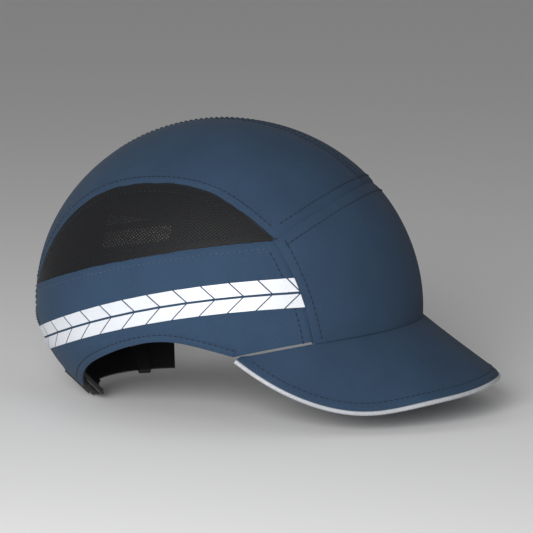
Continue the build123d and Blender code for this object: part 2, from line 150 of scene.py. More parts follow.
def cut_panel(name, low, high, start, end, cell=0.0018, lift=0.0, sink=0.0006, roll=0.0016, thickness=0.0009,
              ripple=0.00025, seed=0.0, edges=(1, 1, 1, 1)):
    """A piece of cloth between four seams, laid on the crown. Its edges sink into the seams where edges says 1."""
    across = max(length_of(low), length_of(high))
    up = max(length_of(start), length_of(end), 0.004)
    columns, rows = max(int(across / cell), 8), max(int(up / cell), 3)
    bpy.ops.object.select_all(action="DESELECT")
    bpy.ops.mesh.primitive_grid_add(x_subdivisions=columns, y_subdivisions=rows, size=1, calc_uvs=True)
    panel = bpy.context.object
    panel.name = panel.data.name = name
    flat = np.array([v.co for v in panel.data.vertices])
    u, v = flat[:, 0] + 0.5, flat[:, 1] + 0.5
    low, high, start, end = (evenly(line, 400) for line in (low, high, start, end))
    steps = np.linspace(0, 1, 400)

    def at(line, share):
        return np.stack([np.interp(share, steps, line[:, i]) for i in range(3)], axis=1)

    corners = (low[0], low[-1], high[0], high[-1])
    u1, v1 = u[:, None], v[:, None]
    place = (1 - v1) * at(low, u) + v1 * at(high, u) + (1 - u1) * at(start, v) + u1 * at(end, v)
    place -= (1 - u1) * (1 - v1) * corners[0] + u1 * (1 - v1) * corners[1]
    place -= (1 - u1) * v1 * corners[2] + u1 * v1 * corners[3]
    distance = np.full(len(place), 1.0)
    for on, share, size in zip(edges, (v, 1 - v, u, 1 - u), (up, up, across, across)):
        if on:
            distance = np.minimum(distance, share * size)
    drop = -sink * np.exp(-(distance / roll) ** 2)
    if ripple:
        waves = np.array([noise.noise(Vector(p) * 26 + Vector((seed, 0, 0))) for p in place])
        puckers = np.array([noise.noise(Vector(p) * 130 + Vector((0, seed, 0))) for p in place])
        drop += ripple * (waves - 0.5) + ripple * 0.8 * (puckers - 0.5) * np.exp(-(distance / 0.007) ** 2)
    place = on_crown(place, lift + drop)
    panel.data.vertices.foreach_set("co", place.ravel())
    panel.data.update()
    face = panel.data.polygons[len(panel.data.polygons) // 2]
    if face.normal.dot(Vector(crown_normal([face.center])[0])) < 0:
        panel.data.flip_normals()
    spread = panel.data.uv_layers[0].data
    for corner in spread:
        corner.uv = (corner.uv[0] * across, corner.uv[1] * up)
    note_cut(panel, rows, columns)
    wall = panel.modifiers.new("cloth thickness", "SOLIDIFY")
    wall.thickness = thickness
    wall.offset = -1
    bpy.ops.object.modifier_apply(modifier=wall.name)
    bpy.ops.object.shade_smooth_by_angle(angle=math.radians(50))
    return panel


def woven(name, colour, thread=0.00042, coordinates="UV", roughness=0.88, sheen=0.03, mottle=0.10, bump=0.35):
    """Plain-weave cloth: warp and weft threads as fine bands, with a little unevenness of dye."""
    material = bpy.data.materials.new(name)
    material.use_nodes = True
    tree = material.node_tree
    shader = tree.nodes["Principled BSDF"]
    shader.inputs["Roughness"].default_value = roughness
    shader.inputs["Sheen Weight"].default_value = sheen
    shader.inputs["Sheen Roughness"].default_value = 0.4
    shader.inputs["Specular IOR Level"].default_value = 0.25
    place = tree.nodes.new("ShaderNodeTexCoord")
    bands = []
    for direction in ("X", "Y"):
        band = tree.nodes.new("ShaderNodeTexWave")
        band.bands_direction = direction
        band.inputs["Scale"].default_value = 0.314 / thread
        band.inputs["Distortion"].default_value = 0.6
        band.inputs["Detail"].default_value = 1.0
        tree.links.new(place.outputs[coordinates], band.inputs["Vector"])
        bands.append(band)
    weave = tree.nodes.new("ShaderNodeMath")
    weave.operation = "MULTIPLY"
    tree.links.new(bands[0].outputs["Fac"], weave.inputs[0])
    tree.links.new(bands[1].outputs["Fac"], weave.inputs[1])
    dye = tree.nodes.new("ShaderNodeTexNoise")
    dye.inputs["Scale"].default_value = 900
    dye.inputs["Detail"].default_value = 3
    tree.links.new(place.outputs["Object"], dye.inputs["Vector"])
    cloudy = tree.nodes.new("ShaderNodeTexNoise")
    cloudy.inputs["Scale"].default_value = 35
    tree.links.new(place.outputs["Object"], cloudy.inputs["Vector"])
    total = tree.nodes.new("ShaderNodeMath")
    total.operation = "ADD"
    tree.links.new(dye.outputs["Fac"], total.inputs[0])
    tree.links.new(cloudy.outputs["Fac"], total.inputs[1])
    ramp = tree.nodes.new("ShaderNodeValToRGB")
    ramp.color_ramp.elements[0].position = 0.35 / 2 + 0.2
    ramp.color_ramp.elements[1].position = 0.65
    ramp.color_ramp.elements[0].color = (*[c * (1 - mottle) for c in colour], 1)
    ramp.color_ramp.elements[1].color = (*[min(c * (1 + mottle), 1) for c in colour], 1)
    half = tree.nodes.new("ShaderNodeMath")
    half.operation = "MULTIPLY"
    half.inputs[1].default_value = 0.5
    tree.links.new(total.outputs[0], half.inputs[0])
    tree.links.new(half.outputs[0], ramp.inputs["Fac"])
    dip = tree.nodes.new("ShaderNodeMixRGB")
    dip.blend_type = "MULTIPLY"
    dip.inputs["Fac"].default_value = 0.35
    tree.links.new(ramp.outputs["Color"], dip.inputs[1])
    tree.links.new(weave.outputs[0], dip.inputs[2])
    tree.links.new(dip.outputs["Color"], shader.inputs["Base Color"])
    relief = tree.nodes.new("ShaderNodeBump")
    relief.inputs["Strength"].default_value = bump
    relief.inputs["Distance"].default_value = 0.0002
    tree.links.new(weave.outputs[0], relief.inputs["Height"])
    tree.links.new(relief.outputs["Normal"], shader.inputs["Normal"])
    return material


def dress(piece, material, body="cap", hides=()):
    """A finished piece gets its material and its body, and stands for its CAD nodes."""
    piece.data.materials.clear()
    piece.data.materials.append(material)
    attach(piece, body)
    if hides:
        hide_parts(*hides)
    return piece


SEAM_TIP = (-0.051, 0.046)
SEAM_FOOT = (-0.072, -0.007)
front_side_seam = on_right_side(arc(SEAM_FOOT, (-0.0645, 0.022), SEAM_TIP))
brow = arc((-0.112, -0.0019), (-0.074, -0.0054), (-0.0343, -0.0133))


def brow_line(first_y, count=90):
    """The crown's lower edge over the brow, from the right side at first_y round to the front's middle."""
    marks = []
    height = np.interp(first_y, brow[:, 0], brow[:, 1])
    depth = math.sqrt(1 - (height / 0.071) ** 2)
    first = math.acos(min(1.0, -first_y / (0.108 * depth)))
    for angle in np.linspace(first, 0, count):
        y = -0.108 * math.cos(angle) * depth
        height = float(np.interp(y, brow[:, 0], brow[:, 1]))
        depth = math.sqrt(1 - (height / 0.071) ** 2)
        marks.append((-0.088 * depth * math.sin(angle), -0.108 * depth * math.cos(angle), height))
    return np.array(marks)


def top_seam_point(x):
    """Where the seam between front and crown passes at x; the seam lies in one sloping plane."""
    run = np.array([-0.079 - SEAM_TIP[0], 0.0685 - SEAM_TIP[1]])
    start = np.array(SEAM_TIP) / (0.108, 0.101)
    step = run / (0.108, 0.101)
    a, b, c = step @ step, 2 * start @ step, start @ start - (1 - (x / 0.088) ** 2)
    k = (-b + math.sqrt(max(b * b - 4 * a * c, 0))) / (2 * a)
    return (x, SEAM_TIP[0] + k * run[0], SEAM_TIP[1] + k * run[1])


seam_tip_x = -0.088 * math.sqrt(1 - (SEAM_TIP[0] / 0.108) ** 2 - (SEAM_TIP[1] / 0.101) ** 2)
top_seam_right = np.array([top_seam_point(x) for x in np.linspace(seam_tip_x, 0, 90)])
top_seam = np.vstack([top_seam_right, other_side(top_seam_right[::-1])[1:]])
brow_right = brow_line(SEAM_FOOT[0])
brow_edge = np.vstack([brow_right, other_side(brow_right[::-1])[1:]])
brow_edge[:, 2] -= 0.0004
NAVY = (0.027, 0.057, 0.106)
navy_cloth = woven("navy cloth", NAVY)
front = cut_panel("front_cloth", brow_edge, top_seam, front_side_seam, other_side(front_side_seam),
                  seed=3.0, edges=(0, 1, 1, 1))
dress(front, navy_cloth, hides=["front_panel"])


# ---------------------------------------------------------------------------------------------
# Crown panels. Two pieces of the same navy cloth that meet over the top in a centre seam and run
# down the back to the rear opening. The seam is pressed open and topstitched on both sides.

mesh_head = on_right_side(through([SEAM_TIP, (-0.018, 0.067), (0.020, 0.0715), (0.061, 0.0595), (0.085, 0.035), (0.098, 0.0105)]))
mesh_sill = on_right_side(arc(SEAM_TIP, (0.015, 0.0365), (0.098, 0.0105)))
REAR_HALF = 0.0385


def rear_seam_point(z, x=-REAR_HALF):
    depth = 0.101 if z > 0 else 0.071
    return (x, 0.108 * math.sqrt(1 - (x / 0.088) ** 2 - (z / depth) ** 2), z)


rear_seam = np.array([rear_seam_point(z) for z in np.linspace(0.0105, -0.014, 30)])
heel = mesh_head[-1]
rear_seam[0] = heel
rear_arch = []
for x, z in arc((-REAR_HALF, -0.014), (0.0, -0.005), (REAR_HALF, -0.014), 61):
    rear_arch.append(rear_seam_point(z, x))
rear_arch = np.array(rear_arch)
middle_front = math.atan2(top_seam_right[-1][2] / 0.101, top_seam_right[-1][1] / 0.108)
centre_line = [(0, 0.108 * math.cos(a), 0.101 * math.sin(a)) for a in np.linspace(middle_front, 0, 150)]
centre_line += [(0, 0.108 * math.cos(a), 0.071 * math.sin(a)) for a in np.linspace(-0.01, -math.asin(0.005 / 0.071), 4)]
centre_line = np.array(centre_line)
crown_side = np.vstack([mesh_head, rear_seam[1:]])
for side, turn in (("right", lambda p: p), ("left", other_side)):
    crown = cut_panel(f"crown_cloth_{side}", turn(crown_side), turn(centre_line), turn(top_seam_right),
                      turn(rear_arch[:31]), cell=0.0021, seed=11.0 if side == "right" else 17.0, sink=0.0007)
    dress(crown, navy_cloth, hides=[f"crown_panel_{side}"])


# ---------------------------------------------------------------------------------------------
# Side bands. A lighter-looking slate navy cloth from the front seam round over the ears to the
# rear opening, shaped low at the temple and the tail. The reflective tape is sealed on them.

rear_edge = np.array([rear_seam_point(z) for z in np.linspace(-0.0435, 0.0105, 40)])
rear_edge[-1] = heel
ear_marks = [(-0.0343, -0.0133), (-0.019, -0.0092), (0.0, -0.0066), (0.020, -0.0100), (0.040, -0.0182),
             (0.057, -0.0296), (0.0655, -0.0410)]
ear_line = on_right_side(through(ear_marks))
tail_hem = np.array([rear_seam_point(-0.0435, x) for x in np.linspace(-0.0415, -REAR_HALF, 8)])
temple_line = on_right_side(brow[(brow[:, 0] > SEAM_FOOT[0]) & (brow[:, 0] < -0.0348)])
band_low = np.vstack([[front_side_seam[0]], temple_line, ear_line, tail_hem])
side_cloth = woven("slate cloth", (0.030, 0.064, 0.120), mottle=0.08)
for side, turn in (("right", lambda p: p), ("left", other_side)):
    band = cut_panel(f"side_cloth_{side}", turn(band_low), turn(mesh_sill), turn(front_side_seam), turn(rear_edge),
                     seed=23.0 if side == "right" else 29.0, edges=(0, 1, 1, 0))
    dress(band, side_cloth, hides=[f"side_band_{side}"])


# ---------------------------------------------------------------------------------------------
# Hems. The edge over each ear and the arch of the rear opening are turned up once and stitched
# down, so a band a little thicker than the cloth runs along them with a rounded fold.

def beside(line, offset, lift=0.0):
    """A line on the crown that runs beside another, offset to its left seen from outside."""
    line = np.asarray(line, float)
    ahead = np.gradient(line, axis=0)
    ahead /= np.linalg.norm(ahead, axis=1)[:, None]
    aside = np.cross(crown_normal(line), ahead)
    return on_crown(line + offset * aside, lift)


def hem_fold(name, edge, width):
    """A narrow folded strip whose lower edge rolls under the cloth's own edge."""
    strip = cut_panel(name, edge, beside(edge, width), evenly([edge[0], beside(edge, width)[0]], 8),
                      evenly([edge[-1], beside(edge, width)[-1]], 8), cell=0.0009, lift=0.00055, sink=0.0004,
                      roll=0.0007, thickness=0.0019, ripple=0.0001)
    return strip


ear_run = evenly(ear_line, 220)
for side, turn, way in (("right", lambda p: p, -1), ("left", other_side, 1)):
    hem = hem_fold(f"ear_hem_{side}", turn(ear_run), way * 0.0042)
    dress(hem, side_cloth, hides=[f"ear_binding_{side}"])
rear_hem = hem_fold("rear_hem", rear_arch, -0.0042)
dress(rear_hem, navy_cloth, hides=["rear_binding"])


# ---------------------------------------------------------------------------------------------
# Mesh panels. Black knitted air mesh with staggered holes, let in between crown and side band.
# The neighbours' turned edges lie over its rim, so the mesh sits a little lower than the cloth.

def inside(outline, y, z):
    """Whether side-view places lie in an outline."""
    hit = np.zeros(len(y), bool)
    for (y1, z1), (y2, z2) in zip(outline, np.roll(outline, -1, axis=0)):
        crosses = (z1 > z) != (z2 > z)
        with np.errstate(divide="ignore", invalid="ignore"):
            hit ^= crosses & (y < (y2 - y1) * (z - z1) / (z2 - z1) + y1)
    return hit


mesh_outline = np.vstack([mesh_sill[:, 1:], mesh_head[::-1, 1:]])
middle = mesh_outline.mean(axis=0)
rim = mesh_outline + 0.0016 * (mesh_outline - middle) / np.linalg.norm(mesh_outline - middle, axis=1)[:, None]
HOLE_ACROSS, HOLE_UP = 0.0023, 0.00185
swing = [math.radians(-34)]
while swing[-1] < math.radians(74):
    swing.append(swing[-1] + HOLE_ACROSS / (0.9 * math.hypot(0.108 * math.cos(swing[-1]), 0.088 * math.sin(swing[-1]))))
rise = [math.radians(4)]
while rise[-1] < math.radians(50):
    rise.append(rise[-1] + HOLE_UP / math.hypot(0.101 * math.cos(rise[-1]), 0.096 * math.sin(rise[-1])))
swing, rise = np.array(swing), np.array(rise)
bpy.ops.object.select_all(action="DESELECT")
bpy.ops.mesh.primitive_grid_add(x_subdivisions=len(swing) - 1, y_subdivisions=len(rise) - 1, size=1)
net = bpy.context.object
net.name = "air_mesh_right"
bpy.ops.object.mode_set(mode="EDIT")
bpy.ops.mesh.select_all(action="SELECT")
bpy.ops.mesh.poke()
bpy.ops.object.mode_set(mode="OBJECT")
corners = len(swing) * len(rise)
for v in net.data.vertices:
    v.select = False
for edge in net.data.edges:
    edge.select = edge.vertices[0] < corners and edge.vertices[1] < corners
for face in net.data.polygons:
    face.select = False
bpy.ops.object.mode_set(mode="EDIT")
bpy.ops.mesh.select_mode(type="EDGE")
bpy.ops.mesh.dissolve_edges(use_verts=False)
bpy.ops.mesh.select_mode(type="FACE")
bpy.ops.object.mode_set(mode="OBJECT")
flat = np.array([v.co for v in net.data.vertices])
a = np.interp(flat[:, 0] + 0.5, np.linspace(0, 1, len(swing)), swing)
b = np.interp(flat[:, 1] + 0.5, np.linspace(0, 1, len(rise)), rise)
place = np.stack([-0.088 * np.cos(b) * np.cos(a), 0.108 * np.cos(b) * np.sin(a), 0.101 * np.sin(b)], axis=1)
net.data.vertices.foreach_set("co", on_crown(place, -0.0007).ravel())
net.data.update()
centres = np.array([face.center for face in net.data.polygons])
keep = inside(rim, centres[:, 1], centres[:, 2])
net.data.polygons.foreach_set("select", ~keep)
bpy.ops.object.mode_set(mode="EDIT")
bpy.ops.mesh.delete(type="FACE")
bpy.ops.mesh.select_all(action="SELECT")
bpy.ops.mesh.normals_make_consistent(inside=False)
bpy.ops.object.mode_set(mode="OBJECT")
above_sill = np.stack([np.interp(mesh_sill[:, 1], mesh_head[:, 1], mesh_head[:, i]) for i in range(3)], axis=1)
net_cut = (float(length_of(mesh_sill)), float(np.linalg.norm(above_sill - mesh_sill, axis=1).max()),
           sum(face.area for face in net.data.polygons))
cuts["air_mesh_right"] = cuts["air_mesh_left"] = net_cut
bpy.ops.object.mode_set(mode="EDIT")
bpy.ops.mesh.inset(thickness=0.00034, use_individual=True)
bpy.ops.mesh.delete(type="FACE")
bpy.ops.object.mode_set(mode="OBJECT")
face = net.data.polygons[0]
if face.normal.dot(Vector(crown_normal([face.center])[0])) < 0:
    net.data.flip_normals()
rounder = net.modifiers.new("round the holes", "SUBSURF")
rounder.levels = rounder.render_levels = 1
bpy.ops.object.modifier_apply(modifier=rounder.name)
wall = net.modifiers.new("yarn thickness", "SOLIDIFY")
wall.thickness = 0.00035
wall.offset = -1
bpy.ops.object.modifier_apply(modifier=wall.name)
bpy.ops.object.shade_smooth()
air_mesh = woven("black air mesh", (0.007, 0.0075, 0.0088), coordinates="Object", roughness=0.6, sheen=0.02, bump=0.2)
other_net = net.copy()
other_net.data = net.data.copy()
other_net.name = "air_mesh_left"
bpy.context.scene.collection.objects.link(other_net)
other_net.data.transform(Matrix.Scale(-1, 4, (1, 0, 0)))
other_net.data.flip_normals()
dress(net, air_mesh, hides=["mesh_panel_right"])
dress(other_net, air_mesh, hides=["mesh_panel_left"])


# ---------------------------------------------------------------------------------------------
# Reflective tape. A chevron of leaning panes, cut from bead-coated film and heat-sealed on the
# side band, so each pane has a soft silver-white face and a crisp cut edge.

bead_film = bpy.data.materials.new("reflective film")
bead_film.use_nodes = True
film = bead_film.node_tree
film_face = film.nodes["Principled BSDF"]
film_face.inputs["Roughness"].default_value = 0.42
film_face.inputs["Metallic"].default_value = 0.0
film_face.inputs["Specular IOR Level"].default_value = 0.6
film_face.inputs["Coat Weight"].default_value = 0.15
film_face.inputs["Coat Roughness"].default_value = 0.3
film_place = film.nodes.new("ShaderNodeTexCoord")
beads = film.nodes.new("ShaderNodeTexVoronoi")
beads.inputs["Scale"].default_value = 2600
film.links.new(film_place.outputs["Object"], beads.inputs["Vector"])
bead_tone = film.nodes.new("ShaderNodeValToRGB")
bead_tone.color_ramp.elements[0].color = (0.54, 0.56, 0.60, 1)
bead_tone.color_ramp.elements[1].color = (0.64, 0.66, 0.70, 1)
film.links.new(beads.outputs["Distance"], bead_tone.inputs["Fac"])
film.links.new(bead_tone.outputs["Color"], film_face.inputs["Base Color"])
bead_relief = film.nodes.new("ShaderNodeBump")
bead_relief.inputs["Strength"].default_value = 0.15
bead_relief.inputs["Distance"].default_value = 0.0001
film.links.new(beads.outputs["Distance"], bead_relief.inputs["Height"])
film.links.new(bead_relief.outputs["Normal"], film_face.inputs["Normal"])
for side in ("right", "left"):
    tape = nodes[f"reflective_tape_{side}"]
    tape.data.materials.clear()
    tape.data.materials.append(bead_film)


# ---------------------------------------------------------------------------------------------
# Peak. A bent board between two pieces of navy cloth, closed round its edge. The upper cloth
# stands a little proud of the board and rolls down into the piping.

edge_marks = [(0.0, -0.150, -0.0327), (0.027, -0.1435, -0.0342), (0.050, -0.126, -0.0368), (0.0675, -0.100, -0.0400),
              (0.078, -0.073, -0.0342), (0.082, -0.052, -0.0245), (0.0825, -0.036, -0.0150)]
swing_end = math.radians(69)
root_marks = []
for share in np.linspace(0, 1, 7):
    x, y = 0.085 * math.sin(swing_end * share), -0.105 * math.cos(swing_end * share)
    along = (y + 0.112) / 0.0777
    middle_share = 0.038 / 0.0777
    bow = -0.0054 + 0.0019 + middle_share * 0.0114
    drop = -0.0114 * along + bow * along * (1 - along) / (middle_share * (1 - middle_share))
    root_marks.append((x, y, -0.0019 + drop - 0.0020))


def whole_edge(marks):
    """Marks of the left half made into the whole line, from the right temple to the left."""
    right = [(-x, y, z) for x, y, z in marks[:0:-1]]
    return through(right + list(marks), 241)


peak_edge_line = whole_edge(edge_marks)
peak_root_line = whole_edge(root_marks)


def peak_cloth(name, offset, thickness, out):
    """Cloth over the board: a sheet ruled from root to edge, raised by offset and closed down at the rim."""
    bpy.ops.object.select_all(action="DESELECT")
    bpy.ops.mesh.primitive_grid_add(x_subdivisions=240, y_subdivisions=44, size=1, calc_uvs=True)
    sheet = bpy.context.object
    sheet.name = sheet.data.name = name
    flat = np.array([v.co for v in sheet.data.vertices])
    u, v = flat[:, 0] + 0.5, flat[:, 1] + 0.5
    steps = np.linspace(0, 1, 241)
    root = np.stack([np.interp(u, steps, peak_root_line[:, i]) for i in range(3)], axis=1)
    rim_point = np.stack([np.interp(u, steps, peak_edge_line[:, i]) for i in range(3)], axis=1)
    place = root + v[:, None] * (rim_point - root)
    ahead = np.stack([np.interp(u, steps, np.gradient(peak_edge_line[:, i] + peak_root_line[:, i])) for i in range(3)], axis=1)
    normal = np.cross(rim_point - root, ahead)
    normal /= np.linalg.norm(normal, axis=1)[:, None]
    normal *= np.sign(normal[:, 2:3])
    gap = (1 - v) * np.linalg.norm(rim_point - root, axis=1)
    raised = offset * np.sqrt(np.clip(1 - np.exp(-(gap / 0.0011) ** 2) * 0.55, 0, 1))
    waves = np.array([noise.noise(Vector(p) * 22) for p in place]) * 0.00022
    place = place + out * normal * (raised + np.abs(waves))[:, None]
    sheet.data.vertices.foreach_set("co", place.ravel())
    sheet.data.update()
    if sheet.data.polygons[len(sheet.data.polygons) // 2].normal.z * out < 0:
        sheet.data.flip_normals()
    for corner in sheet.data.uv_layers[0].data:
        corner.uv = (corner.uv[0] * length_of(peak_edge_line), corner.uv[1] * 0.052)
    note_cut(sheet, 44, 240)
    wall = sheet.modifiers.new("cloth thickness", "SOLIDIFY")
    wall.thickness = thickness
    wall.offset = -1
    bpy.ops.object.modifier_apply(modifier=wall.name)
    bpy.ops.object.shade_smooth_by_angle(angle=math.radians(50))
    return sheet


peak_top = peak_cloth("peak_cloth_top", 0.0017, 0.0007, 1)
dress(peak_top, navy_cloth, hides=["peak_top_cover"])
peak_under = peak_cloth("peak_cloth_under", 0.0017, 0.0007, -1)
dress(peak_under, navy_cloth, hides=["peak_bottom_cover"])
board_plastic = bpy.data.materials.new("peak board")
board_plastic.use_nodes = True
board_grain = board_plastic.node_tree.nodes.new("ShaderNodeTexNoise")
board_grain.inputs["Scale"].default_value = 300
board_tone = board_plastic.node_tree.nodes.new("ShaderNodeValToRGB")
board_tone.color_ramp.elements[0].color = (0.5, 0.51, 0.52, 1)
board_tone.color_ramp.elements[1].color = (0.62, 0.63, 0.64, 1)
board_plastic.node_tree.links.new(board_grain.outputs["Fac"], board_tone.inputs["Fac"])
board_plastic.node_tree.links.new(board_tone.outputs["Color"],
                                  board_plastic.node_tree.nodes["Principled BSDF"].inputs["Base Color"])
nodes["peak_board"].data.materials.clear()
nodes["peak_board"].data.materials.append(board_plastic)


# ---------------------------------------------------------------------------------------------
# Piping. A cord wrapped in grey reflective tape, caught between the peak's two cloths all round
# its edge from temple to temple.

away = peak_edge_line - peak_root_line
away /= np.linalg.norm(away, axis=1)[:, None]
piping_marks = peak_edge_line + 0.0008 * away
curve = bpy.data.curves.new("piping", "CURVE")
curve.dimensions = "3D"
spline = curve.splines.new("NURBS")
piping_points = piping_marks[::5]
spline.points.add(len(piping_points) - 1)
for point, mark in zip(spline.points, piping_points):
    point.co = (*mark, 1)
spline.order_u = 4
spline.use_endpoint_u = True
curve.bevel_depth = 0.0012
curve.bevel_resolution = 5
curve.use_fill_caps = True
curve.resolution_u = 5
piping = bpy.data.objects.new("peak_piping_cord", curve)
bpy.context.scene.collection.objects.link(piping)
bpy.ops.object.select_all(action="DESELECT")
bpy.context.view_layer.objects.active = piping
piping.select_set(True)
bpy.ops.object.convert(target="MESH")
piping = bpy.context.object
bpy.ops.object.shade_smooth()
grey_tape = woven("reflective piping", (0.50, 0.52, 0.55), coordinates="Object", roughness=0.4, sheen=0.05, mottle=0.12,
                  bump=0.15)
dress(piping, grey_tape, hides=["peak_piping"])


# ---------------------------------------------------------------------------------------------
# Hard shell. A black moulded liner, matt outside, with windows behind the mesh and slots in the
# crown. It keeps its CAD shape and gets a fine spark-eroded grain.

def moulded(name, colour, roughness=0.5, grain=700, depth=0.12):
    """Moulded plastic with a fine eroded grain and slight flow marks."""
    material = bpy.data.materials.new(name)
    material.use_nodes = True
    tree = material.node_tree
    shader = tree.nodes["Principled BSDF"]
    place = tree.nodes.new("ShaderNodeTexCoord")
    grit = tree.nodes.new("ShaderNodeTexNoise")
    grit.inputs["Scale"].default_value = grain
    grit.inputs["Detail"].default_value = 4
    tree.links.new(place.outputs["Object"], grit.inputs["Vector"])
    flow = tree.nodes.new("ShaderNodeTexNoise")
    flow.inputs["Scale"].default_value = 22
    tree.links.new(place.outputs["Object"], flow.inputs["Vector"])
    tone = tree.nodes.new("ShaderNodeValToRGB")
    tone.color_ramp.elements[0].color = (*[c * 0.8 for c in colour], 1)
    tone.color_ramp.elements[1].color = (*[c * 1.25 for c in colour], 1)
    tree.links.new(flow.outputs["Fac"], tone.inputs["Fac"])
    tree.links.new(tone.outputs["Color"], shader.inputs["Base Color"])
    shine = tree.nodes.new("ShaderNodeMapRange")
    shine.inputs["To Min"].default_value = roughness - 0.08
    shine.inputs["To Max"].default_value = roughness + 0.1
    tree.links.new(grit.outputs["Fac"], shine.inputs["Value"])
    tree.links.new(shine.outputs["Result"], shader.inputs["Roughness"])
    relief = tree.nodes.new("ShaderNodeBump")
    relief.inputs["Strength"].default_value = depth
    relief.inputs["Distance"].default_value = 0.0002
    tree.links.new(grit.outputs["Fac"], relief.inputs["Height"])
    tree.links.new(relief.outputs["Normal"], shader.inputs["Normal"])
    return material


def finish_node(name, material):
    nodes[name].data.materials.clear()
    nodes[name].data.materials.append(material)


finish_node("hard_shell", moulded("shell plastic", (0.016, 0.016, 0.018), roughness=0.5))


# ---------------------------------------------------------------------------------------------
# Sweatband. A padded band of black brushed cloth, folded over foam. It hooks under the shell's
# rim, ends just behind the cap's edge, and lies against the brow and temples.

def band_low_at(y):
    """Height of the sweatband's lower roll at a place along the side."""
    if y < ear_marks[0][0]:
        return float(np.interp(y, brow[:, 0], brow[:, 1])) + 0.0014
    ears = through(ear_marks)
    return float(np.interp(y, ears[:, 0], ears[:, 1])) + 0.0008


band_path = []
for angle in np.linspace(math.radians(14), math.radians(-90), 120):
    band_path.append((-math.cos(angle), math.sin(angle)))
band_path += [(-x, y) for x, y in band_path[-2::-1]]
section = [(0.0014, 0.30, 0), (0.0014, 0.02, 0), (0.0022, -0.02, 1), (0.0040, -0.06, 1), (0.0056, 0.0, 1), (0.0066, 0.10, 1),
           (0.0069, 0.30, 1), (0.0071, 0.55, 1), (0.0068, 0.80, 1), (0.0062, 0.95, 1), (0.0052, 1.0, 1), (0.0044, 0.96, 1),
           (0.0041, 0.85, 1), (0.0041, 0.45, 1), (0.0041, 0.30, 1)]
bpy.ops.object.select_all(action="DESELECT")
bpy.ops.mesh.primitive_grid_add(x_subdivisions=len(band_path) - 1, y_subdivisions=len(section), size=1, calc_uvs=True)
sweatband = bpy.context.object
sweatband.name = sweatband.data.name = "sweatband_cloth"
flat = np.array([v.co for v in sweatband.data.vertices])
column = np.rint((flat[:, 0] + 0.5) * (len(band_path) - 1)).astype(int)
row = np.rint((flat[:, 1] + 0.5) * len(section)).astype(int) % len(section)
place = []
for c, r in zip(column, row):
    dx, dy = band_path[c]
    inset, share, _ = section[r]
    low = band_low_at(0.108 * dy) + 0.0002
    z = low + share * (0.0205 - low)
    if r in (0, 13, 14):
        z = min(z, -0.0014) if r == 0 else max(z, -0.0010)
    half_x, half_y = 0.088 - inset, 0.108 - inset
    depth = (0.101 if z > 0 else 0.071) - inset
    flat_share = math.sqrt(max(1 - (z / depth) ** 2, 0.01))
    place.append((half_x * dx * flat_share, half_y * dy * flat_share, z))
sweatband.data.vertices.foreach_set("co", np.array(place).ravel())
for corner in sweatband.data.uv_layers[0].data:
    corner.uv = (corner.uv[0] * 0.40, corner.uv[1] * 0.06)
bpy.ops.object.mode_set(mode="EDIT")
bpy.ops.mesh.select_all(action="SELECT")
bpy.ops.mesh.remove_doubles(threshold=0.00002)
bpy.ops.mesh.select_mode(type="EDGE")
bpy.ops.mesh.select_all(action="DESELECT")
bpy.ops.mesh.select_non_manifold(extend=False)
bpy.ops.mesh.edge_face_add()
bpy.ops.mesh.select_all(action="SELECT")
bpy.ops.mesh.normals_make_consistent(inside=False)
bpy.ops.object.mode_set(mode="OBJECT")
rounder = sweatband.modifiers.new("soft folds", "SUBSURF")
rounder.levels = rounder.render_levels = 1
bpy.ops.object.modifier_apply(modifier=rounder.name)
bpy.ops.object.shade_smooth()
black_cloth = woven("black brushed cloth", (0.011, 0.0112, 0.0125), coordinates="Object", roughness=0.95, sheen=0.05, bump=0.25)
dress(sweatband, black_cloth, hides=["sweatband"])


# ---------------------------------------------------------------------------------------------
# Foam pads. Die-cut pads of grey-black closed-cell foam inside the shell, at the crown, the brow
# and the nape, with pressed rounded edges.

foam = bpy.data.materials.new("closed-cell foam")
foam.use_nodes = True
foam_tree = foam.node_tree
foam_face = foam_tree.nodes["Principled BSDF"]
foam_face.inputs["Roughness"].default_value = 0.9
foam_place = foam_tree.nodes.new("ShaderNodeTexCoord")
cells = foam_tree.nodes.new("ShaderNodeTexVoronoi")
cells.inputs["Scale"].default_value = 1400
foam_tree.links.new(foam_place.outputs["Object"], cells.inputs["Vector"])
foam_tone = foam_tree.nodes.new("ShaderNodeValToRGB")
foam_tone.color_ramp.elements[0].color = (0.022, 0.022, 0.025, 1)
foam_tone.color_ramp.elements[1].color = (0.05, 0.05, 0.055, 1)
foam_tree.links.new(cells.outputs["Distance"], foam_tone.inputs["Fac"])
foam_tree.links.new(foam_tone.outputs["Color"], foam_face.inputs["Base Color"])
foam_relief = foam_tree.nodes.new("ShaderNodeBump")
foam_relief.inputs["Strength"].default_value = 0.4
foam_relief.inputs["Distance"].default_value = 0.0003
foam_tree.links.new(cells.outputs["Distance"], foam_relief.inputs["Height"])
foam_tree.links.new(foam_relief.outputs["Normal"], foam_face.inputs["Normal"])
